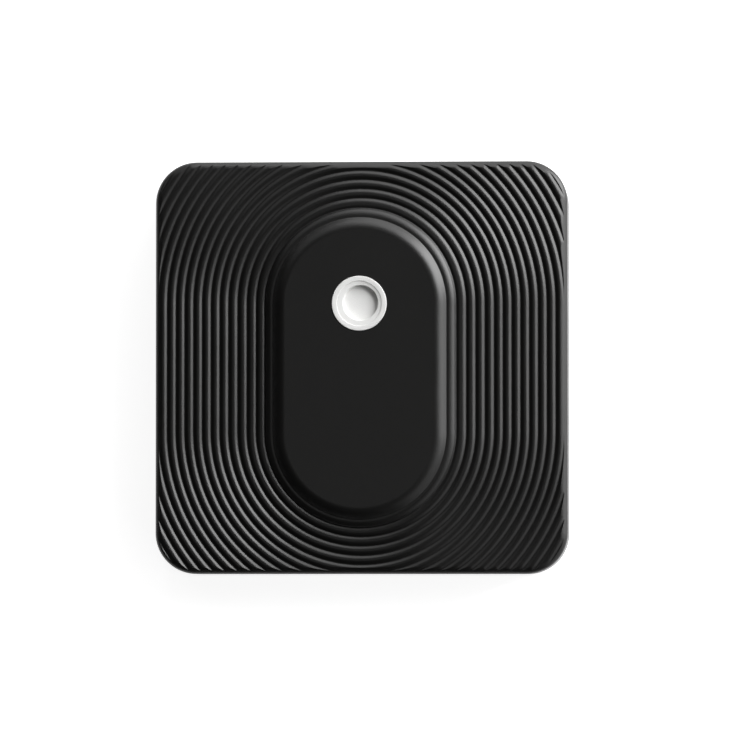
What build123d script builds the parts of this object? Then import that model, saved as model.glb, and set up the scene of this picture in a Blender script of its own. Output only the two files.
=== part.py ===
from build123d import *
import os
from math import asin, ceil, cos, hypot, radians, sin

# Room sensor for temperature and humidity: a square ribbed case with a circuit board and a coin cell.
# It lies on its back. +Z comes out of the ribbed face, +Y is the upper edge, and the origin is the
# middle of the rear face. Lengths are in millimetres and angles in degrees.

os.makedirs("parts", exist_ok=True)

# Case
side = 35.0
corner_radius = 3.5
rim_wall = 1.0
case_wall = 1.6
face_wall = 1.25
foot_chamfer = 0.35
shoulder_inset = 0.42
shoulder_height = 0.85
running_gap = 0.05
contact_gap = 0.02

# Ribbed face: ribs with sloping flanks run round a stadium-shaped island, one beside the other
island_half_width = 7.4
island_end_offset = 5.45
island_edge_width = 1.05
island_rise = 0.54
island_bevel_width = 0.6
island_bevel_drop = 0.14
island_wall = 1.0
island_side_wall = 1.3
rib_pitch = 0.745
rib_height = 0.14
rib_crest_width = 0.26
flare_ribs = 5
flare_rib_pitch = 0.776
flare_slope = 16.0

# Rear cover
rear_thickness = 0.8
rear_edge_chamfer = 0.2
tab_length = 5.0
tab_thickness = 0.9
tab_height = 1.4
tab_offset = 8.0
tab_lead_in = 0.25
centring_bar_width = 0.7
centring_bar_length = 4.0
centring_bar_height = 0.4
notch_length = 7.0
notch_height = 1.2
notch_reach = 0.35

# Coin cell
cell_diameter = 20.0
cell_thickness = 3.2
cell_edge_chamfer = 0.3
cell_crimp_width = 0.7
cell_shoulder_drop = 0.3
seal_width = 0.45
seal_depth = 1.6

# Circuit board
board_thickness = 0.6
board_edge_gap = 0.2
contact_space = 0.25
stake_radius = 0.6
stake_inset = 2.0
stake_head_radius = 1.0
stake_head_height = 0.5

# Cell holder and its contacts
holder_gap = 0.15
holder_wall = 0.95
holder_height = 2.4
holder_slot_width = 3.1
contact_angle = 135
strip_width = 2.4
strip_thickness = 0.2
strip_foot_length = 2.2
strip_bend_radius = 0.3
strip_touch_height = 1.1
strip_tip_height = 0.4
leaf_length = 9.0
leaf_width = 5.0
leaf_rim_width = 1.0
leaf_thickness = 0.08
leaf_tongue_width = 1.8
leaf_tongue_reach = 1.2

# Sensor port
port_radius = 2.32
ring_proud = 0.05
ring_edge_width = 0.42
ring_edge_drop = 0.12
recess_radius = 1.4
recess_floor_radius = 1.25
recess_depth = 0.5
flange_radius = 4.0
flange_thickness = 0.5
membrane_radius = 1.7
membrane_thickness = 0.2
gasket_inner_radius = 1.6
gasket_wall = 1.1
chip_size = 1.5
chip_height = 0.5
chip_opening_radius = 0.3
chip_opening_depth = 0.1
light_offset = 3.4
light_length = 1.0
light_width = 0.5
light_height = 0.4

# Parts on the front of the board, inside the island
radio_size = 5.0
radio_height = 0.85
radio_y = -2.2
crystal_length = 2.5
crystal_width = 2.0
crystal_height = 0.6
inductor_length = 2.0
inductor_width = 1.6
inductor_height = 0.9
supply_row_y = -7.2
supply_row_pitch = 5.0
small_length = 1.0
small_width = 0.5
capacitor_height = 0.5
resistor_height = 0.35
capacitor_column_pitch = 8.4
capacitor_row_pitch = 1.8
resistor_row_gap = 1.3
resistor_pitch = 1.9

# Parts on the rear of the board, outside the cell holder
reserve_length = 3.2
reserve_width = 1.6
reserve_height = 1.4
reserve_angle = 38
reserve_end_cap = 0.5
reserve_cap_proud = 0.05
antenna_bars = 14
antenna_pitch = 0.9
antenna_trace = 0.4
antenna_height = 2.4
antenna_thickness = 0.05
antenna_edge_gap = 0.6

# Control button
switch_size = 3.6
switch_base_height = 1.2
switch_angle = -45
well_radius = 1.4
well_depth = 0.6
dome_radius = 1.3
dome_crown_radius = 0.5
dome_height = 0.25
dome_sheet = 0.07
plunger_radius = 0.85
plunger_flange_gap = 0.1
plunger_tip_height = 2.1
plunger_tip_chamfer = 0.15
frame_sheet = 0.15
frame_ear_width = 2.0
frame_ear_height = 0.7
terminal_width = 0.6
terminal_sheet = 0.15
terminal_reach = 0.7
terminal_height = 0.6
terminal_pitch = 2.2

# Heights above the rear face
cell_rear_z = rear_thickness + running_gap
cell_front_z = cell_rear_z + cell_thickness
board_rear_z = cell_front_z + contact_space
board_front_z = board_rear_z + board_thickness
valley_z = board_front_z + face_wall
crest_z = valley_z + rib_height

# Outlines
half_side = side / 2
cavity_half = half_side - case_wall
cavity_radius = corner_radius - case_wall
seat_half = half_side - rim_wall
seat_radius = corner_radius - rim_wall
cover_half = seat_half - running_gap
board_half = cavity_half - board_edge_gap
cell_radius = cell_diameter / 2
holder_inner_radius = cell_radius + holder_gap
holder_outer_radius = holder_inner_radius + holder_wall
stake_half = board_half - stake_inset
stake_places = ((stake_half, stake_half), (-stake_half, -stake_half))

# Tall parts on the rear of the board stand half-way between the cell holder and the board's corners
corner_part_distance = (holder_outer_radius + hypot(board_half, board_half)) / 2

# The valleys lie on a surface that flares up to the island in a hollow arc, where the ribs are wider
flare_width = flare_ribs * flare_rib_pitch
flare_radius = flare_width / sin(radians(flare_slope))


def face_point(distance, height=0.0):
    """Point of the face's section, at a distance outside the island's foot and a height over the valleys."""
    lean = asin(max(flare_width - distance, 0.0) / flare_radius)
    valley_line_z = valley_z + flare_radius * (1 - cos(lean))
    return (island_half_width + distance + height * sin(lean), valley_line_z + height * cos(lean))


island_foot = face_point(0)
island_z = island_foot[1] + island_rise
island_ceiling_z = island_z - island_wall
corner_reach = hypot(half_side - corner_radius, half_side - corner_radius - island_end_offset)
flat_ribs = ceil((corner_reach + corner_radius - island_half_width - flare_width) / rib_pitch)
valleys = [rib * flare_rib_pitch for rib in range(flare_ribs)]
valleys += [flare_width + rib * rib_pitch for rib in range(flat_ribs + 1)]

# The port stands at the centre of the island's upper end
port_y = island_end_offset
port_axis = Axis((0, port_y, 0), (0, 0, 1))
port_plane = Plane.XZ.offset(-port_y)


def radial_plane(angle):
    """Upright plane through the cell's axis: its x axis points outwards, its y axis up."""
    outwards = (cos(radians(angle)), sin(radians(angle)), 0)
    sideways = (sin(radians(angle)), -cos(radians(angle)), 0)
    return Plane((0, 0, 0), x_dir=outwards, z_dir=sideways)


def board_rear_plane(angle, distance):
    """Plane on the rear of the board at an angle and distance from the cell's axis, facing rearwards."""
    outwards = (cos(radians(angle)), sin(radians(angle)), 0)
    origin = (distance * outwards[0], distance * outwards[1], board_rear_z)
    return Plane(origin, x_dir=outwards, z_dir=(0, 0, -1))


# Block under the ribbed face: one section, turned about the island's upper end and drawn along its side
with BuildPart() as ribbed_block:
    with BuildSketch(port_plane) as face_section:
        with BuildLine():
            flat_end = (island_half_width - island_edge_width, island_z)
            bevel_end = (flat_end[0] + island_bevel_width, island_z - island_bevel_drop)
            Polyline((0, 0), (0, island_z), flat_end, bevel_end, island_foot)
            for inner, outer in zip(valleys, valleys[1:]):
                flank = (outer - inner - rib_crest_width) / 2
                crest_start = face_point(inner + flank, rib_height)
                crest_end = face_point(outer - flank, rib_height)
                Polyline(face_point(inner), crest_start, crest_end, face_point(outer))
            face_end = face_point(valleys[-1])
            Polyline(face_end, (face_end[0], 0), (0, 0))
        make_face()
    upper_end = revolve(axis=port_axis, revolution_arc=180)
    right_side = extrude(face_section.sketch, amount=2 * island_end_offset)
    mirror(upper_end, about=Plane.XZ)
    mirror(right_side, about=Plane.YZ)

# Square outline of the case with a steep bevel round its front, and a taller core that clears the island
with BuildPart() as case_outline:
    with BuildSketch():
        RectangleRounded(side, side, corner_radius)
    extrude(amount=crest_z)
    front_face = case_outline.faces().sort_by(Axis.Z)[-1]
    chamfer(front_face.edges(), shoulder_inset, shoulder_height, reference=front_face)
    chamfer(case_outline.edges().group_by(Axis.Z)[0], foot_chamfer)
    with BuildSketch(Plane.XY.offset(valley_z)):
        core_width = 2 * (island_half_width + flare_width - rib_pitch)
        SlotOverall(2 * island_end_offset + core_width, core_width, rotation=90)
    extrude(amount=island_z)

with BuildPart() as front_cover:
    add(ribbed_block.part)
    add(case_outline.part, mode=Mode.INTERSECT)
    # Seat of the rear cover, room for the board and the cell, and the hollow under the island
    with BuildSketch():
        RectangleRounded(2 * seat_half, 2 * seat_half, seat_radius)
    extrude(amount=rear_thickness, mode=Mode.SUBTRACT)
    with BuildSketch():
        RectangleRounded(2 * cavity_half, 2 * cavity_half, cavity_radius)
    extrude(amount=board_front_z, mode=Mode.SUBTRACT)
    with BuildSketch():
        hollow_width = 2 * (island_half_width - island_side_wall)
        SlotOverall(2 * island_end_offset + hollow_width, hollow_width, rotation=90)
    extrude(amount=island_ceiling_z, mode=Mode.SUBTRACT)
    # Hole for the sensor port
    with Locations((0, port_y, island_z)):
        Hole(port_radius, island_wall + flange_thickness)
    # Notch in the rim, where a blade lifts the rear cover out
    with BuildSketch(Plane.XZ.offset(half_side)):
        SlotOverall(notch_length, 2 * notch_height)
    extrude(amount=-(rim_wall + notch_reach), mode=Mode.SUBTRACT)
    # Pegs through two corners of the board, with their heads formed over it
    with BuildSketch(Plane.XY.offset(board_front_z)):
        with Locations(*stake_places):
            Circle(stake_radius)
    extrude(amount=-board_thickness)
    with BuildSketch(Plane.XY.offset(board_rear_z)):
        with Locations(*stake_places):
            Circle(stake_head_radius)
    extrude(amount=-stake_head_height)
front_cover.part.label = "front_cover"
export_step(front_cover.part, "parts/front_cover.step")

with BuildPart() as rear_cover:
    with BuildSketch():
        RectangleRounded(2 * cover_half, 2 * cover_half, seat_radius - running_gap)
    extrude(amount=rear_thickness)
    chamfer(rear_cover.edges().group_by(Axis.Z)[0], rear_edge_chamfer)
    # Tabs that grip the inside of the case, two on each side
    with BuildSketch(Plane.XY.offset(rear_thickness)):
        tab_centre = cavity_half - running_gap - tab_thickness / 2
        with PolarLocations(0, 4):
            with Locations((tab_centre, tab_offset), (tab_centre, -tab_offset)):
                Rectangle(tab_thickness, tab_length)
    extrude(amount=tab_height)
    chamfer(rear_cover.faces().group_by(Axis.Z)[-1].edges(), tab_lead_in)
    # Low bars that centre the cell
    with BuildSketch(Plane.XY.offset(rear_thickness)):
        with PolarLocations(holder_inner_radius + centring_bar_width / 2, 4):
            Rectangle(centring_bar_width, centring_bar_length)
    extrude(amount=centring_bar_height)
rear_cover.part.label = "rear_cover"
export_step(rear_cover.part, "parts/rear_cover.step")

# White ring of the sensor port: a flange under the island's wall and a dished hole for the air
ring_z = island_z + ring_proud
membrane_z = ring_z - recess_depth
flange_z = island_ceiling_z - flange_thickness
with BuildPart() as light_ring:
    with BuildSketch(port_plane):
        with BuildLine():
            ring_radius = port_radius - contact_gap
            ring_edge = (ring_radius, ring_z - ring_edge_drop)
            Polyline(
                (recess_floor_radius, membrane_z),
                (membrane_radius + contact_gap, membrane_z),
                (membrane_radius + contact_gap, flange_z),
                (flange_radius, flange_z),
                (flange_radius, island_ceiling_z),
                (ring_radius, island_ceiling_z),
                ring_edge,
            )
            flat_edge = (ring_radius - ring_edge_width, ring_z)
            Polyline(ring_edge, flat_edge, (recess_radius, ring_z), (recess_floor_radius, membrane_z))
        make_face()
    revolve(axis=port_axis)
light_ring.part.label = "light_ring"
export_step(light_ring.part, "parts/light_ring.step")

with BuildPart() as vent_membrane:
    with BuildSketch(Plane.XY.offset(membrane_z)):
        with Locations((0, port_y)):
            Circle(membrane_radius)
    extrude(amount=-membrane_thickness)
vent_membrane.part.label = "vent_membrane"
export_step(vent_membrane.part, "parts/vent_membrane.step")

with BuildPart() as sensor_gasket:
    with BuildSketch(Plane.XY.offset(board_front_z)):
        with Locations((0, port_y)):
            Circle(gasket_inner_radius + gasket_wall)
            Circle(gasket_inner_radius, mode=Mode.SUBTRACT)
    extrude(amount=flange_z - board_front_z)
sensor_gasket.part.label = "sensor_gasket"
export_step(sensor_gasket.part, "parts/sensor_gasket.step")

with BuildPart() as humidity_sensor:
    with BuildSketch(Plane.XY.offset(board_front_z)):
        with Locations((0, port_y)):
            Rectangle(chip_size, chip_size)
    extrude(amount=chip_height)
    with Locations((0, port_y, board_front_z + chip_height)):
        Hole(chip_opening_radius, chip_opening_depth)
humidity_sensor.part.label = "humidity_sensor"
export_step(humidity_sensor.part, "parts/humidity_sensor.step")

with BuildPart() as status_led:
    with BuildSketch(Plane.XY.offset(board_front_z)):
        with Locations((0, port_y - light_offset)):
            Rectangle(light_length, light_width)
    extrude(amount=light_height)
status_led.part.label = "status_led"
export_step(status_led.part, "parts/status_led.step")

with BuildPart() as circuit_board:
    with BuildSketch(Plane.XY.offset(board_rear_z)):
        RectangleRounded(2 * board_half, 2 * board_half, cavity_radius - board_edge_gap)
        with Locations(*stake_places):
            Circle(stake_radius + contact_gap, mode=Mode.SUBTRACT)
    extrude(amount=board_thickness)
circuit_board.part.label = "circuit_board"
export_step(circuit_board.part, "parts/circuit_board.step")

with BuildPart() as bluetooth_chip:
    with BuildSketch(Plane.XY.offset(board_front_z)):
        with Locations((0, radio_y)):
            Rectangle(radio_size, radio_size)
    extrude(amount=radio_height)
    chamfer(bluetooth_chip.edges().group_by(Axis.Z)[-1], radio_height / 10)
bluetooth_chip.part.label = "bluetooth_chip"
export_step(bluetooth_chip.part, "parts/bluetooth_chip.step")

with BuildPart() as clock_crystal:
    with BuildSketch(Plane.XY.offset(board_front_z)):
        with Locations((-supply_row_pitch / 2, supply_row_y)):
            RectangleRounded(crystal_length, crystal_width, crystal_height / 2)
    extrude(amount=crystal_height)
clock_crystal.part.label = "clock_crystal"
export_step(clock_crystal.part, "parts/clock_crystal.step")

with BuildPart() as power_inductor:
    with BuildSketch(Plane.XY.offset(board_front_z)):
        with Locations((supply_row_pitch / 2, supply_row_y)):
            Rectangle(inductor_length, inductor_width)
    extrude(amount=inductor_height)
    chamfer(power_inductor.edges().filter_by(Axis.Z), inductor_width / 6)
power_inductor.part.label = "power_inductor"
export_step(power_inductor.part, "parts/power_inductor.step")

with BuildPart() as board_capacitors:
    with BuildSketch(Plane.XY.offset(board_front_z)):
        with Locations((0, radio_y)):
            with GridLocations(capacitor_column_pitch, capacitor_row_pitch, 2, 3):
                Rectangle(small_length, small_width)
    extrude(amount=capacitor_height)
board_capacitors.part.label = "board_capacitors"
export_step(board_capacitors.part, "parts/board_capacitors.step")

with BuildPart() as board_resistors:
    with BuildSketch(Plane.XY.offset(board_front_z)):
        with Locations((0, radio_y - radio_size / 2 - resistor_row_gap + small_width)):
            with GridLocations(resistor_pitch, 0, 4, 1):
                Rectangle(small_length, small_width)
    extrude(amount=resistor_height)
board_resistors.part.label = "board_resistors"
export_step(board_resistors.part, "parts/board_resistors.step")

# Block with a metal cap at each end, between the cell holder and the corner of the board
with BuildPart() as reserve_capacitor:
    with BuildSketch(board_rear_plane(reserve_angle, corner_part_distance)):
        Rectangle(reserve_width, reserve_length)
    extrude(amount=reserve_height)
    with BuildSketch(board_rear_plane(reserve_angle, corner_part_distance)):
        with GridLocations(0, reserve_length, 1, 2):
            Rectangle(reserve_width + reserve_cap_proud, reserve_end_cap)
    extrude(amount=reserve_height + reserve_cap_proud)
reserve_capacitor.part.label = "reserve_capacitor"
export_step(reserve_capacitor.part, "parts/reserve_capacitor.step")

# Copper track that runs up and down along the upper edge of the board
antenna_y = board_half - antenna_edge_gap - antenna_height / 2
with BuildPart() as board_antenna:
    with BuildSketch(Plane.XY.offset(board_rear_z)):
        with Locations((0, antenna_y)):
            with GridLocations(antenna_pitch, 0, antenna_bars, 1):
                Rectangle(antenna_trace, antenna_height)
        for gap in range(antenna_bars - 1):
            gap_x = (gap - (antenna_bars - 2) / 2) * antenna_pitch
            end_y = antenna_y + (-1) ** gap * (antenna_height - antenna_trace) / 2
            with Locations((gap_x, end_y)):
                Rectangle(antenna_pitch, antenna_trace)
    extrude(amount=-antenna_thickness)
board_antenna.part.label = "board_antenna"
export_step(board_antenna.part, "parts/board_antenna.step")

with BuildPart() as cell_holder:
    with BuildSketch(Plane.XY.offset(board_rear_z)):
        Circle(holder_outer_radius)
        Circle(holder_inner_radius, mode=Mode.SUBTRACT)
        with PolarLocations(holder_outer_radius, 1, start_angle=contact_angle):
            Rectangle(4 * holder_wall, holder_slot_width, mode=Mode.SUBTRACT)
    extrude(amount=-holder_height)
cell_holder.part.label = "cell_holder"
export_step(cell_holder.part, "parts/cell_holder.step")

# Bent strip that stands in the holder's slot and presses on the side of the cell's can
strip_radius = cell_radius + contact_gap + strip_thickness
with BuildPart() as positive_contact:
    with BuildSketch(radial_plane(contact_angle)):
        with BuildLine():
            strip_foot_z = board_rear_z - strip_thickness
            strip = FilletPolyline(
                (holder_outer_radius + strip_foot_length, strip_foot_z),
                (holder_outer_radius, strip_foot_z),
                (strip_radius, cell_rear_z + strip_touch_height),
                (holder_outer_radius, cell_rear_z + strip_tip_height),
                radius=strip_bend_radius,
            )
            offset(strip, amount=strip_thickness, side=Side.RIGHT, closed=True)
        make_face()
    extrude(amount=strip_width / 2, both=True)
positive_contact.part.label = "positive_contact"
export_step(positive_contact.part, "parts/positive_contact.step")

# Sprung leaf under the cell: a frame on the board and a tongue that leans on the cap
with BuildPart() as negative_contact:
    with BuildSketch(Plane.XY.offset(board_rear_z)):
        Rectangle(leaf_length, leaf_width)
        Rectangle(leaf_length - 2 * leaf_rim_width, leaf_width - 2 * leaf_rim_width, mode=Mode.SUBTRACT)
    extrude(amount=-leaf_thickness)
    with BuildSketch(Plane.XZ):
        tongue_root_x = (leaf_rim_width - leaf_length) / 2
        tongue_tip_z = cell_front_z + contact_gap
        Polygon(
            (tongue_root_x, board_rear_z),
            (tongue_root_x, board_rear_z - leaf_thickness),
            (0, tongue_tip_z),
            (leaf_tongue_reach, tongue_tip_z),
            (leaf_tongue_reach, tongue_tip_z + leaf_thickness),
            (0, tongue_tip_z + leaf_thickness),
            align=None,
        )
    extrude(amount=leaf_tongue_width / 2, both=True)
negative_contact.part.label = "negative_contact"
export_step(negative_contact.part, "parts/negative_contact.step")

# Coin cell: a can with its rim turned in, a cap at the board's side, and the seal between them
can_rim_z = cell_front_z - cell_shoulder_drop
crimp_radius = cell_radius - cell_crimp_width
cap_radius = crimp_radius - seal_width
seal_floor_z = can_rim_z - seal_depth
with BuildPart() as cell_can:
    with BuildSketch(Plane.XY.offset(cell_rear_z)):
        Circle(cell_radius)
    extrude(amount=can_rim_z - cell_rear_z)
    chamfer(cell_can.edges().group_by(Axis.Z)[0], cell_edge_chamfer)
    with BuildSketch(Plane.XY.offset(can_rim_z)):
        Circle(crimp_radius)
    extrude(amount=-seal_depth, mode=Mode.SUBTRACT)
cell_can.part.label = "cell_can"
export_step(cell_can.part, "parts/cell_can.step")

with BuildPart() as cell_cap:
    with BuildSketch(Plane.XY.offset(seal_floor_z)):
        Circle(cap_radius)
    extrude(amount=cell_front_z - seal_floor_z)
cell_cap.part.label = "cell_cap"
export_step(cell_cap.part, "parts/cell_cap.step")

with BuildPart() as cell_seal:
    with BuildSketch(Plane.XY.offset(seal_floor_z)):
        Circle(crimp_radius)
        Circle(cap_radius, mode=Mode.SUBTRACT)
    extrude(amount=seal_depth)
cell_seal.part.label = "cell_seal"
export_step(cell_seal.part, "parts/cell_seal.step")

# Control button on the rear of the board; heights are counted from the board rearwards
switch_plane = board_rear_plane(switch_angle, corner_part_distance)
well_floor = switch_base_height - well_depth
with BuildPart() as switch_base:
    with BuildSketch(switch_plane):
        Rectangle(switch_size, switch_size)
    extrude(amount=switch_base_height)
    with BuildSketch(switch_plane.offset(well_floor)):
        Circle(well_radius)
    extrude(amount=well_depth, mode=Mode.SUBTRACT)
switch_base.part.label = "switch_base"
export_step(switch_base.part, "parts/switch_base.step")

# Upright plane through the middle of the button: its y axis points rearwards
upright_plane = Plane(switch_plane.origin, x_dir=switch_plane.x_dir, z_dir=-switch_plane.y_dir)
button_axis = Axis(switch_plane.origin, switch_plane.z_dir)
dome_apex = well_floor + dome_height
with BuildPart() as switch_dome:
    with BuildSketch(upright_plane):
        with BuildLine():
            Polyline(
                (0, dome_apex),
                (dome_crown_radius, dome_apex),
                (dome_radius, well_floor),
                (dome_radius - dome_sheet, well_floor),
                (dome_crown_radius - dome_sheet, dome_apex - dome_sheet),
                (0, dome_apex - dome_sheet),
                (0, dome_apex),
            )
        make_face()
    revolve(axis=button_axis)
switch_dome.part.label = "switch_dome"
export_step(switch_dome.part, "parts/switch_dome.step")

plunger_flange_radius = well_radius - plunger_flange_gap
with BuildPart() as switch_plunger:
    with BuildSketch(switch_plane.offset(dome_apex + contact_gap)):
        Circle(plunger_flange_radius)
    extrude(amount=switch_base_height - contact_gap - (dome_apex + contact_gap))
    with BuildSketch(switch_plane.offset(dome_apex + contact_gap)):
        Circle(plunger_radius)
    extrude(amount=plunger_tip_height - (dome_apex + contact_gap))
    chamfer(switch_plunger.edges().group_by(Axis.Z)[0], plunger_tip_chamfer)
switch_plunger.part.label = "switch_plunger"
export_step(switch_plunger.part, "parts/switch_plunger.step")

# Sheet-metal frame that holds the plunger in, folded over two sides of the base
with BuildPart() as switch_frame:
    with BuildSketch(switch_plane.offset(switch_base_height)):
        Rectangle(switch_size, switch_size)
        Circle(plunger_radius + running_gap, mode=Mode.SUBTRACT)
    extrude(amount=frame_sheet)
    with BuildSketch(switch_plane.offset(switch_base_height - frame_ear_height)):
        with GridLocations(switch_size + frame_sheet, 0, 2, 1):
            Rectangle(frame_sheet, frame_ear_width)
    extrude(amount=frame_ear_height + frame_sheet)
switch_frame.part.label = "switch_frame"
export_step(switch_frame.part, "parts/switch_frame.step")

# Four soldered feet, each turned up against the base
with BuildPart() as switch_terminals:
    with BuildSketch(switch_plane):
        with GridLocations(terminal_pitch, switch_size + terminal_reach, 2, 2):
            Rectangle(terminal_width, terminal_reach)
    extrude(amount=terminal_sheet)
    with BuildSketch(switch_plane):
        with GridLocations(terminal_pitch, switch_size + terminal_sheet, 2, 2):
            Rectangle(terminal_width, terminal_sheet)
    extrude(amount=terminal_height)
switch_terminals.part.label = "switch_terminals"
export_step(switch_terminals.part, "parts/switch_terminals.step")
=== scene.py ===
import bpy
from math import atan, ceil, cos, hypot, pi, radians, sin, tan
from mathutils import Matrix, Vector


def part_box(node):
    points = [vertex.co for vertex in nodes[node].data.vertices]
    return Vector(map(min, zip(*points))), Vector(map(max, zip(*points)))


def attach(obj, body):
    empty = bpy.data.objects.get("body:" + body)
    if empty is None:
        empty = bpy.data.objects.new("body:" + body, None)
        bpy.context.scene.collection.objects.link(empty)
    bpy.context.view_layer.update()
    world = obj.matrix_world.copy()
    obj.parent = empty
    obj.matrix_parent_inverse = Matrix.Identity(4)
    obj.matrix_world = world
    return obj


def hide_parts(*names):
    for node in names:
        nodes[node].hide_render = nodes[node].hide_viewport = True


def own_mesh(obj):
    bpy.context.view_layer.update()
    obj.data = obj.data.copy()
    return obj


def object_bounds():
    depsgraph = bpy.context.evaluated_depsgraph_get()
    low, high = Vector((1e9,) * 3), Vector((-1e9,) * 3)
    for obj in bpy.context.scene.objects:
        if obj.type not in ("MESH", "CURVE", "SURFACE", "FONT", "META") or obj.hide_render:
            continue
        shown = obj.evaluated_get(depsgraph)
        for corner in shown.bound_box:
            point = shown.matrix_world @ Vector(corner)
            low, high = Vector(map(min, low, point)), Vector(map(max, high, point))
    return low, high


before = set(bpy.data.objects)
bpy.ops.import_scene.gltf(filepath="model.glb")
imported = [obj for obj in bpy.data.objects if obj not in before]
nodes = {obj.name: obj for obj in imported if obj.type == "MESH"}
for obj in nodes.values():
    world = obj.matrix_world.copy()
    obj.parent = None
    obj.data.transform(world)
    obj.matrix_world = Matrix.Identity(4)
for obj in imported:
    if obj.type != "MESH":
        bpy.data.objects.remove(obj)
cad_box = [list(corner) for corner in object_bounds()]
mm = 0.001


def box_in_mm(name):
    """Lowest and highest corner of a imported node, in millimetres."""
    return [[value / mm for value in corner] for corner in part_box(name)]


# Case, in millimetres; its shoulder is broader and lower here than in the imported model
side = (cad_box[1][0] - cad_box[0][0]) / mm
corner_radius = 3.5
rim_wall = 1.0
case_wall = 1.6
foot_chamfer = 0.35
foot_round_inset = 0.12
foot_round_z = 0.09
shoulder_inset = 0.60
shoulder_height = 0.50
shoulder_turn = radians(50)
rear_thickness = 0.8
overrun = 1.0

# Island, in millimetres; it and the first shifted_ribs stand off the middle of the outer ribs
island_half_width = 7.34
island_end_offset = 5.45
island_edge_width = 1.06
island_edge_slope = radians(42)
island_edge_bias = 0.25
island_z = 7.235
island_shift = (-0.11, -0.09)
shifted_ribs = 2
island_wall = 1.0
island_side_wall = 1.3

# Ribs: lengths in millimetres, shares of the pitch; the foot values hold beside the island
rib_pitch = 0.745
rib_height = 0.14
rib_slope = radians(31)
valley_share = 0.09
crest_share = 0.27
flare_ribs = 5
flare_rib_pitch = 0.788
foot_rib_slope = radians(38)
foot_crest_turn = radians(20)
foot_valley_share = 0.07
foot_crest_share = 0.31

# Board, pegs and the notch for opening the case, in millimetres
board_rear_z, board_front_z = [corner[2] for corner in box_in_mm("circuit_board")]
peg_radius = 0.6
peg_place = 13.7
peg_root = 0.1
peg_head_radius = 1.0
peg_head_height = 0.5
peg_head_angles = (80, 65, 50, 35, 20, 0)
notch_length = 7.0
notch_height = 1.2
notch_reach = 0.35
notch_corners = ((0.0, 0.55), (0.15, 0.85), (0.45, 1.0))

# Sensor port and its ring, in millimetres
port_radius = 2.34
port_place = (-0.11, 5.39)
port_edge = 0.06
port_overrun = 0.01
ring_gap = 0.01
ring_proud = 0.05
rim_round = 0.06
step_drop = 0.03
step_height = 0.04
step_round = 0.01
dish_radius = 1.92
dish_edge = 0.02
dish_fall = 0.04
recess_place = (0.0, 5.45)
recess_radius = 1.50
recess_floor_radius = 1.46
recess_depth = 0.5
lip_corners = ((0.015, 0.01), (0.025, 0.03))
floor_corner = (0.02, 0.03)
membrane_seat = 1.72
flange_radius = 4.0
flange_thickness = 0.5

# Snap dome: sheet and tip radius in millimetres, and the number of points round each ring
dome_sheet = 0.07
dome_tip_radius = 0.02
dome_points = 64

# Noise of the materials, and the part of its values that is spread over a range
broad_ratio = 40
fine_detail = 2
broad_detail = 3
noise_low = 0.3
noise_high = 0.7

# Floor, in metres, just under the rear cover
floor_reach = 3.0
floor_z = -0.00005
floor_grey = 0.8
floor_glow = 0.84

# World and the point that the lamps face, in metres
world_strength = 0.03
lamp_target = Vector((0, 0, 0.006))

# Camera, in metres but for its sensor: nearly square above the face, a little to the right and below
view_width = 0.06232
camera_distance = 0.5
camera_aim = Vector((0.00053, 0.0, 0.0060))
lean_right = radians(3.3)
lean_down = radians(2.2)
sensor_width = 36

half_side = side / 2
cavity_half = half_side - case_wall
cavity_radius = corner_radius - case_wall
seat_half = half_side - rim_wall
seat_radius = corner_radius - rim_wall
flare_width = flare_ribs * flare_rib_pitch

# Distances outside the island's foot, each with the rise per run of the face there
flare_rises = (
    (0.0, 0.55), (0.4, 0.44), (0.8, 0.26), (1.2, 0.12),
    (2.0, 0.07), (2.8, 0.05), (flare_width, 0.0),
)


# Mesh helpers
def arc_points(centre_x, centre_y, radius, start, end, steps):
    """Points on an arc from one angle to another, in degrees."""
    turn = (end - start) / steps
    angles = [radians(start + turn * step) for step in range(steps + 1)]
    return [(centre_x + radius * cos(a), centre_y + radius * sin(a)) for a in angles]


def stadium_ring(radius, z, steps=64, centre=(0, 0)):
    """Points round a stadium that stands upright: two half circles joined by straight sides."""
    centre_x, centre_y = centre
    upper = arc_points(centre_x, centre_y + island_end_offset, radius, 0, 180, steps)
    lower = arc_points(centre_x, centre_y - island_end_offset, radius, 180, 360, steps)
    return [(x, y, z) for x, y in upper + lower]


def square_ring(half, radius, z, steps=24):
    """Points round a square with round corners."""
    reach = half - radius
    ring = []
    for x, y, start in ((reach, reach, 0), (-reach, reach, 90), (-reach, -reach, 180), (reach, -reach, 270)):
        ring += arc_points(x, y, radius, start, start + 90, steps)
    return [(x, y, z) for x, y in ring]


def circle_ring(centre_x, centre_y, radius, z, steps=96):
    ring = arc_points(centre_x, centre_y, radius, 0, 360, steps)[:-1]
    return [(x, y, z) for x, y in ring]


def add_object(name, points, faces):
    mesh = bpy.data.meshes.new(name)
    mesh.from_pydata(points, [], faces)
    obj = bpy.data.objects.new(name, mesh)
    bpy.context.scene.collection.objects.link(obj)
    return obj


def loft(name, rings):
    """Closed mesh through rings of equally many points, from the lowest ring to the highest."""
    count = len(rings[0])
    points = [p for ring in rings for p in ring]
    faces = [list(range(count))[::-1]]
    for level in range(len(rings) - 1):
        for i in range(count):
            a = level * count + i
            b = level * count + (i + 1) % count
            faces.append((a, b, b + count, a + count))
    faces.append([(len(rings) - 1) * count + i for i in range(count)])
    obj = add_object(name, points, faces)
    obj.data.validate()
    return obj


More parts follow.
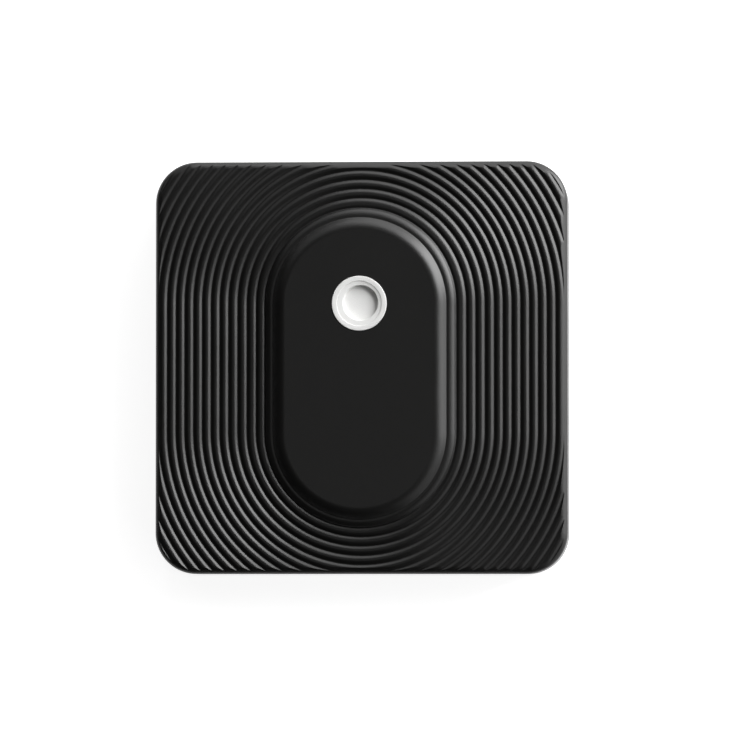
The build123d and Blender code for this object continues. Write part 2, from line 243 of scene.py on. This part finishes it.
def lathe(name, section, centre_at, steps=128):
    """Closed section of (radius, z) points, turned; centre_at gives the centre for each radius."""
    points, faces = [], []
    count = len(section)
    for step in range(steps):
        angle = 2 * pi * step / steps
        for r, z in section:
            x, y = centre_at(r)
            points.append((x + r * cos(angle), y + r * sin(angle), z))
        after = (step + 1) % steps
        for i in range(count):
            j = (i + 1) % count
            faces.append((step * count + i, step * count + j, after * count + j, after * count + i))
    return add_object(name, points, faces)


def combine(obj, other, operation):
    """Boolean of two closed meshes; the second one is used up."""
    modifier = obj.modifiers.new("combine", "BOOLEAN")
    modifier.object = other
    modifier.operation = operation
    modifier.solver = "MANIFOLD"
    evaluated = obj.evaluated_get(bpy.context.evaluated_depsgraph_get())
    made = bpy.data.meshes.new_from_object(evaluated)
    obj.modifiers.remove(modifier)
    obj.data = made
    bpy.data.objects.remove(other)
    return obj


def to_metres(obj, sharp_angle):
    """Brings a finished mesh to metres and shades it smooth, except at edges past the angle in degrees."""
    obj.data.transform(Matrix.Scale(mm, 4))
    obj.data.shade_smooth()
    obj.data.set_sharp_from_angle(angle=radians(sharp_angle))
    return obj


# Ribbed cover
def flare_rise(distance):
    """Slope of the face towards the island, as a rise per run, at a distance outside the island's foot."""
    for (start, first), (end, second) in zip(flare_rises, flare_rises[1:]):
        if distance < end:
            return first + (second - first) * (distance - start) / (end - start)
    return 0.0


def flare_lift(distance):
    """Height that the face has gained at that distance over its flat part."""
    lift = 0.0
    for (start, _), (end, second) in zip(flare_rises, flare_rises[1:]):
        if distance < end:
            inner = max(distance, start)
            lift += (end - inner) * (flare_rise(inner) + second) / 2
    return lift


def island_edge(steps=18):
    """Edge of the island, from its flat top down to its foot: it grows steeper all the way."""
    distance = island_half_width - island_edge_width
    points = [(distance, island_z)]
    for step in range(steps):
        share = (step + 0.5) / steps
        slope = island_edge_slope * share * (1 + island_edge_bias * (1 - share))
        distance += island_edge_width / steps
        points.append((distance, points[-1][1] - island_edge_width / steps * tan(slope)))
    return points


valley_z = island_edge()[-1][1] - flare_lift(0.0)
crest_z = valley_z + rib_height
island_ceiling_z = island_z - island_wall


def face_point(distance, height=0.0):
    """Point of the section, at a distance outside the island's foot and a height over the valleys."""
    lean = atan(flare_rise(distance))
    line_z = valley_z + flare_lift(distance)
    return (island_half_width + distance + height * sin(lean), line_z + height * cos(lean))


def rib(inner, pitch, valley_steps=3, crest_steps=4):
    """One rib from valley to valley, without its first point: round valleys, straight flanks, round back.
    The ribs beside the island have steeper flanks and a broader, flatter back."""
    near = max(1 - inner / ((flare_ribs - 1) * flare_rib_pitch), 0.0)
    slope = rib_slope + near * (foot_rib_slope - rib_slope)
    crest_turn = rib_slope + near * (foot_crest_turn - rib_slope)
    valley = (valley_share + near * (foot_valley_share - valley_share)) * pitch
    crest = (crest_share + near * (foot_crest_share - crest_share)) * pitch
    flank = pitch / 2 - valley - crest
    valley_radius = valley / sin(slope)
    crest_radius = crest / sin(crest_turn)
    half = []
    for step in range(1, valley_steps + 1):
        turn = slope * step / valley_steps
        half.append((valley_radius * sin(turn), valley_radius * (1 - cos(turn))))
    height = half[-1][1] + flank * tan(slope)
    half.append((valley + flank, height))
    for step in reversed(range(crest_steps)):
        turn = crest_turn * step / crest_steps
        level = height + crest_radius * (cos(turn) - cos(crest_turn))
        half.append((pitch / 2 - crest_radius * sin(turn), level))
    other_half = [(pitch - distance, level) for distance, level in reversed(half[:-1])]
    return [face_point(inner + distance, level) for distance, level in half + other_half + [(pitch, 0)]]


def rib_centre(radius):
    """The island and the ribs next to it stand a little to the lower left of the outer ribs."""
    fade = shifted_ribs * flare_rib_pitch
    share = min(max((island_half_width + fade - radius) / fade, 0), 1)
    return [share * shift for shift in island_shift]


def ribbed_block():
    """Block under the ribbed face, which reaches past the case's corners."""
    section = island_edge()
    corner_reach = half_side - corner_radius
    reach = hypot(corner_reach, corner_reach - island_end_offset) + corner_radius
    for number in range(flare_ribs):
        section += rib(number * flare_rib_pitch, flare_rib_pitch)
    for number in range(ceil((reach - island_half_width - flare_width) / rib_pitch)):
        section += rib(flare_width + number * rib_pitch, rib_pitch)
    rings = [stadium_ring(section[-1][0], -overrun)]
    rings += [stadium_ring(r, z, centre=rib_centre(r)) for r, z in reversed(section)]
    return loft("ribbed_cover", rings)


def case_block(steps=7):
    """Square block with a foot chamfer and a rounded shoulder; it runs on upwards past the island."""
    rings = [
        square_ring(half_side - foot_chamfer, corner_radius - foot_chamfer, 0),
        square_ring(half_side - foot_round_inset, corner_radius - foot_round_inset, foot_round_z),
        square_ring(half_side, corner_radius, foot_chamfer),
    ]
    for step in range(steps + 1):
        turn = shoulder_turn * step / steps
        inset = shoulder_inset * (1 - cos(turn)) / (1 - cos(shoulder_turn))
        rise = shoulder_height * sin(turn) / sin(shoulder_turn)
        z = crest_z - shoulder_height + rise
        rings.append(square_ring(half_side - inset, corner_radius - inset, z))
    top = square_ring(half_side - shoulder_inset, corner_radius - shoulder_inset, island_z + overrun)
    return loft("case_block", rings + [top])


def notch_block():
    """Cutter of the notch at the -y side, with its two upper corners rounded off."""
    outer_y = -half_side - overrun
    inner_y = rim_wall + notch_reach - half_side
    sizes = [(notch_length / 2, -overrun)]
    sizes += [(notch_length / 2 - inset, notch_height * share) for inset, share in notch_corners]
    rings = [[(-h, outer_y, z), (h, outer_y, z), (h, inner_y, z), (-h, inner_y, z)] for h, z in sizes]
    return loft("notch", rings)


def peg(place, points=32):
    """Peg through the board, with a domed head formed over it."""
    rings = []
    for angle in peg_head_angles:
        radius = peg_head_radius * cos(radians(angle))
        z = board_rear_z - peg_head_height * sin(radians(angle))
        rings.append(circle_ring(place, place, radius, z, points))
    for z in (board_rear_z, board_front_z + peg_root):
        rings.append(circle_ring(place, place, peg_radius, z, points))
    return loft("peg", rings)


cover = ribbed_block()
combine(cover, case_block(), "INTERSECT")
seat = loft("seat", [square_ring(seat_half, seat_radius, z) for z in (-overrun, rear_thickness)])
combine(cover, seat, "DIFFERENCE")
cavity = loft("cavity", [square_ring(cavity_half, cavity_radius, z) for z in (-overrun, board_front_z)])
combine(cover, cavity, "DIFFERENCE")
hollow_levels = (board_front_z - overrun, island_ceiling_z)
hollow = loft("hollow", [stadium_ring(island_half_width - island_side_wall, z) for z in hollow_levels])
combine(cover, hollow, "DIFFERENCE")
hole_sizes = (
    (island_ceiling_z - overrun, 0),
    (island_z - port_edge, 0),
    (island_z + port_overrun, port_edge),
)
hole = loft("hole", [circle_ring(*port_place, port_radius + grow, z) for z, grow in hole_sizes])
combine(cover, hole, "DIFFERENCE")
combine(cover, notch_block(), "DIFFERENCE")
for place in (peg_place, -peg_place):
    combine(cover, peg(place), "UNION")
to_metres(cover, sharp_angle=28)
weighted = cover.modifiers.new("even_shading", "WEIGHTED_NORMAL")
weighted.keep_sharp = True
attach(cover, "case")
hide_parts("front_cover")

# Sensor port's ring
ring_z = island_z + ring_proud
ring_radius = port_radius - ring_gap
step_z = ring_z - step_drop
dish_z = step_z - step_height
dish_start = dish_radius - dish_edge
membrane_z = ring_z - recess_depth
flange_z = island_ceiling_z - flange_thickness


def ring_section(rim_steps=6, dish_steps=5):
    """Half section of the ring, from the membrane's seat round the flange to the front and the recess."""
    section = [
        (membrane_seat, membrane_z), (membrane_seat, flange_z), (flange_radius, flange_z),
        (flange_radius, island_ceiling_z), (ring_radius, island_ceiling_z),
        (ring_radius, ring_z - rim_round),
    ]
    for step in range(1, rim_steps + 1):
        turn = radians(90 * step / rim_steps)
        section.append((ring_radius - rim_round * (1 - cos(turn)), ring_z - rim_round * (1 - sin(turn))))
    section += [(dish_radius, step_z), (dish_radius - step_round, step_z - step_round), (dish_start, dish_z)]
    for step in range(1, dish_steps + 1):
        share = step / dish_steps
        section.append((dish_start - (dish_start - recess_radius) * share, dish_z - dish_fall * share))
    lip_z = section[-1][1]
    section += [(recess_radius - inset, lip_z - drop) for inset, drop in lip_corners]
    inset, rise = floor_corner
    return section + [(recess_floor_radius + inset, membrane_z + rise), (recess_floor_radius, membrane_z)]


def ring_centre(radius):
    """The recess and all under it stand off the middle of the ring's front, up and to the right."""
    share = min(max((dish_start - radius) / (dish_start - recess_radius), 0), 1)
    return [a + (b - a) * share for a, b in zip(port_place, recess_place)]


light_ring = to_metres(lathe("port_ring", ring_section()[::-1], ring_centre), sharp_angle=40)
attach(light_ring, "case")
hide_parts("light_ring")


# Snap dome of the control button
def snap_dome(box, steps=8):
    """Thin domed sheet, hollow towards the board, inside a box of (lowest, highest) corners."""
    low, high = box
    x, y = (low[0] + high[0]) / 2, (low[1] + high[1]) / 2
    radius, height = high[0] - x, high[2] - low[2]
    rings = []
    for thinner in (0.0, dome_sheet):
        rim, rise = radius - thinner, height - thinner
        radii = [dome_tip_radius + (rim - dome_tip_radius) * step / steps for step in range(steps + 1)]
        levels = [high[2] - rise * (1 - (r / rim) ** 2) for r in radii]
        skin = [circle_ring(x, y, r, z, dome_points) for r, z in zip(radii, levels)]
        rings += skin[::-1] if rings else skin
    return loft("snap_dome", rings), (x, y, high[2])


dome, dome_rim = snap_dome(box_in_mm("switch_dome"))
to_metres(dome, sharp_angle=40)
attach(dome, "case")
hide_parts("switch_dome")
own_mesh(dome)


# Materials
def surface(name, colour, roughness, metallic=0.0, grain=0.05, grain_depth=0.002, mottle=0.12,
            rough_spread=0.08, streaks=(1, 1, 1), ior=1.5):
    """Moulded, rolled or woven surface: colour and gloss vary a little, and a fine grain stands on it.
    grain and grain_depth are in millimetres; streaks stretches the grain along the axes."""
    mat = bpy.data.materials.new(name)
    mat.use_nodes = True
    tree = mat.node_tree
    shader = tree.nodes["Principled BSDF"]
    shader.inputs["Metallic"].default_value = metallic
    shader.inputs["IOR"].default_value = ior
    place = tree.nodes.new("ShaderNodeTexCoord")
    mapping = tree.nodes.new("ShaderNodeMapping")
    mapping.inputs["Scale"].default_value = streaks
    tree.links.new(place.outputs["Object"], mapping.inputs["Vector"])

    def noise(size, detail, source):
        node = tree.nodes.new("ShaderNodeTexNoise")
        node.inputs["Scale"].default_value = 1 / (size * mm)
        node.inputs["Detail"].default_value = detail
        tree.links.new(source, node.inputs["Vector"])
        return node

    def spread(node, low, high):
        mix = tree.nodes.new("ShaderNodeMapRange")
        mix.inputs["From Min"].default_value = noise_low
        mix.inputs["From Max"].default_value = noise_high
        mix.inputs["To Min"].default_value = low
        mix.inputs["To Max"].default_value = high
        tree.links.new(node.outputs["Fac"], mix.inputs["Value"])
        return mix

    fine = noise(grain, fine_detail, mapping.outputs["Vector"])
    broad = noise(grain * broad_ratio, broad_detail, place.outputs["Object"])
    ramp = tree.nodes.new("ShaderNodeMix")
    ramp.data_type = "RGBA"
    ramp.inputs["A"].default_value = (*[c * (1 - mottle) for c in colour], 1)
    ramp.inputs["B"].default_value = (*[min(c * (1 + mottle), 1) for c in colour], 1)
    tree.links.new(broad.outputs["Fac"], ramp.inputs["Factor"])
    tree.links.new(ramp.outputs["Result"], shader.inputs["Base Color"])
    gloss = spread(broad, roughness - rough_spread, roughness + rough_spread)
    tree.links.new(gloss.outputs["Result"], shader.inputs["Roughness"])
    bump = tree.nodes.new("ShaderNodeBump")
    bump.inputs["Distance"].default_value = grain_depth * mm
    bump.inputs["Strength"].default_value = 1.0
    tree.links.new(fine.outputs["Fac"], bump.inputs["Height"])
    tree.links.new(bump.outputs["Normal"], shader.inputs["Normal"])
    return mat


case_black = surface("case_black", (0.0024, 0.0023, 0.0021), 0.36, grain=0.10, grain_depth=0.004,
                     rough_spread=0.02, ior=1.56)
white_plastic = surface("white_plastic", (0.77, 0.77, 0.76), 0.55, grain=0.08, grain_depth=0.001,
                        mottle=0.02)
membrane = surface("membrane", (0.79, 0.79, 0.78), 0.85, grain=0.06, grain_depth=0.012, mottle=0.05)
foam = surface("foam", (0.03, 0.03, 0.03), 0.9, grain=0.12, grain_depth=0.05, mottle=0.3)
board = surface("board", (0.006, 0.05, 0.022), 0.3, grain=0.25, grain_depth=0.004, mottle=0.25,
                streaks=(1, 0.15, 1))
chip_plastic = surface("chip_plastic", (0.018, 0.018, 0.02), 0.55, grain=0.05, grain_depth=0.004)
ceramic = surface("ceramic", (0.33, 0.21, 0.11), 0.45, grain=0.08, grain_depth=0.004)
holder_plastic = surface("holder_plastic", (0.02, 0.02, 0.022), 0.5, grain=0.09, grain_depth=0.005)
steel = surface("steel", (0.62, 0.61, 0.59), 0.28, metallic=1, grain=0.04, grain_depth=0.001,
                mottle=0.03, rough_spread=0.02, streaks=(0.08, 1, 1))
copper = surface("copper", (0.72, 0.46, 0.22), 0.3, metallic=1, grain=0.05, grain_depth=0.001,
                 mottle=0.06, rough_spread=0.03)
gold = surface("gold_plated", (0.80, 0.58, 0.26), 0.25, metallic=1, grain=0.05, grain_depth=0.001,
               mottle=0.05, rough_spread=0.03)
light_lens = surface("light_lens", (0.75, 0.74, 0.66), 0.25, grain=0.1, grain_depth=0.001)

finishes = {
    "rear_cover": case_black,
    "vent_membrane": membrane,
    "sensor_gasket": foam,
    "humidity_sensor": chip_plastic,
    "status_led": light_lens,
    "circuit_board": board,
    "bluetooth_chip": chip_plastic,
    "clock_crystal": steel,
    "power_inductor": chip_plastic,
    "board_capacitors": ceramic,
    "board_resistors": chip_plastic,
    "reserve_capacitor": ceramic,
    "board_antenna": copper,
    "cell_holder": holder_plastic,
    "positive_contact": gold,
    "negative_contact": gold,
    "cell_can": steel,
    "cell_cap": steel,
    "cell_seal": holder_plastic,
    "switch_base": chip_plastic,
    "switch_plunger": chip_plastic,
    "switch_frame": steel,
    "switch_terminals": steel,
}
for name, finish in finishes.items():
    for slot in nodes[name].material_slots:
        slot.material = finish
for piece, finish in ((cover, case_black), (light_ring, white_plastic), (dome, steel)):
    piece.data.materials.clear()
    piece.data.materials.append(finish)


# Floor
def paper_material():
    """Paper that glows to the camera, in mirrors and through glass, and is clear from below."""
    paper = bpy.data.materials.new("paper")
    paper.use_nodes = True
    tree = paper.node_tree
    tree.nodes.clear()
    output = tree.nodes.new("ShaderNodeOutputMaterial")
    diffuse = tree.nodes.new("ShaderNodeBsdfDiffuse")
    diffuse.inputs["Color"].default_value = (floor_grey, floor_grey, floor_grey, 1)
    glow = tree.nodes.new("ShaderNodeEmission")
    glow.inputs["Strength"].default_value = floor_glow
    both = tree.nodes.new("ShaderNodeAddShader")
    path = tree.nodes.new("ShaderNodeLightPath")
    seen = tree.nodes.new("ShaderNodeMath")
    seen.operation = "MAXIMUM"
    seen_through = tree.nodes.new("ShaderNodeMath")
    seen_through.operation = "MAXIMUM"
    pick = tree.nodes.new("ShaderNodeMixShader")
    below = tree.nodes.new("ShaderNodeMixShader")
    clear = tree.nodes.new("ShaderNodeBsdfTransparent")
    geometry = tree.nodes.new("ShaderNodeNewGeometry")
    links = tree.links
    links.new(path.outputs["Is Camera Ray"], seen.inputs[0])
    links.new(path.outputs["Is Glossy Ray"], seen.inputs[1])
    links.new(seen.outputs[0], seen_through.inputs[0])
    links.new(path.outputs["Is Transmission Ray"], seen_through.inputs[1])
    links.new(diffuse.outputs[0], both.inputs[0])
    links.new(glow.outputs[0], both.inputs[1])
    links.new(seen_through.outputs[0], pick.inputs[0])
    links.new(diffuse.outputs[0], pick.inputs[1])
    links.new(both.outputs[0], pick.inputs[2])
    links.new(geometry.outputs["Backfacing"], below.inputs[0])
    links.new(pick.outputs[0], below.inputs[1])
    links.new(clear.outputs[0], below.inputs[2])
    links.new(below.outputs[0], output.inputs["Surface"])
    return paper


floor_sides = ((-1, -1), (1, -1), (1, 1), (-1, 1))
floor_corners = [(x * floor_reach, y * floor_reach, floor_z) for x, y in floor_sides]
floor = add_object("floor", floor_corners, [(0, 1, 2, 3)])
floor.data.materials.append(paper_material())

# World and lamps
world = bpy.data.worlds.new("studio")
bpy.context.scene.world = world
world.use_nodes = True
world.node_tree.nodes["Background"].inputs["Color"].default_value = (1, 1, 1, 1)
world.node_tree.nodes["Background"].inputs["Strength"].default_value = world_strength


def lamp(name, direction, distance, width, height, power):
    """Soft lamp that faces the middle of the face; lengths in metres, power in watts."""
    data = bpy.data.lights.new(name, "AREA")
    data.shape = "RECTANGLE"
    data.size = width
    data.size_y = height
    data.energy = power
    obj = bpy.data.objects.new(name, data)
    way = Vector(direction).normalized()
    obj.location = lamp_target + way * distance
    obj.rotation_mode = "QUATERNION"
    obj.rotation_quaternion = way.to_track_quat("Z", "Y")
    bpy.context.scene.collection.objects.link(obj)
    return obj


lamp("key", (0.766, 0.497, 0.44), distance=0.30, width=0.18, height=0.26, power=1.03)
lamp("side", (0.64, 0.65, 0.44), distance=0.30, width=0.78, height=0.26, power=1.6)
lamp("low", (0.748, -0.524, 0.44), distance=0.30, width=0.22, height=0.26, power=0.12)
lamp("fill", (-0.45, 0.85, 0.60), distance=0.6, width=0.45, height=0.45, power=0.35)
lamp("overhead", (-0.09, -0.02, 1), distance=0.8, width=0.14, height=0.14, power=0.07)

# Camera
way = Vector((sin(lean_right), -sin(lean_down), 1)).normalized()
right = Vector((0, 1, 0)).cross(way).normalized()
camera_data = bpy.data.cameras.new("camera")
camera_data.sensor_width = sensor_width
camera_data.lens = sensor_width * camera_distance / view_width
camera_data.clip_start = 0.01
camera = bpy.data.objects.new("camera", camera_data)
turned = Matrix((right, way.cross(right), way)).transposed().to_4x4()
turned.translation = camera_aim + way * camera_distance
camera.matrix_world = turned
bpy.context.scene.collection.objects.link(camera)
bpy.context.scene.camera = camera
bpy.context.scene.view_settings.view_transform = "Standard"

bpy.context.view_layer.update()
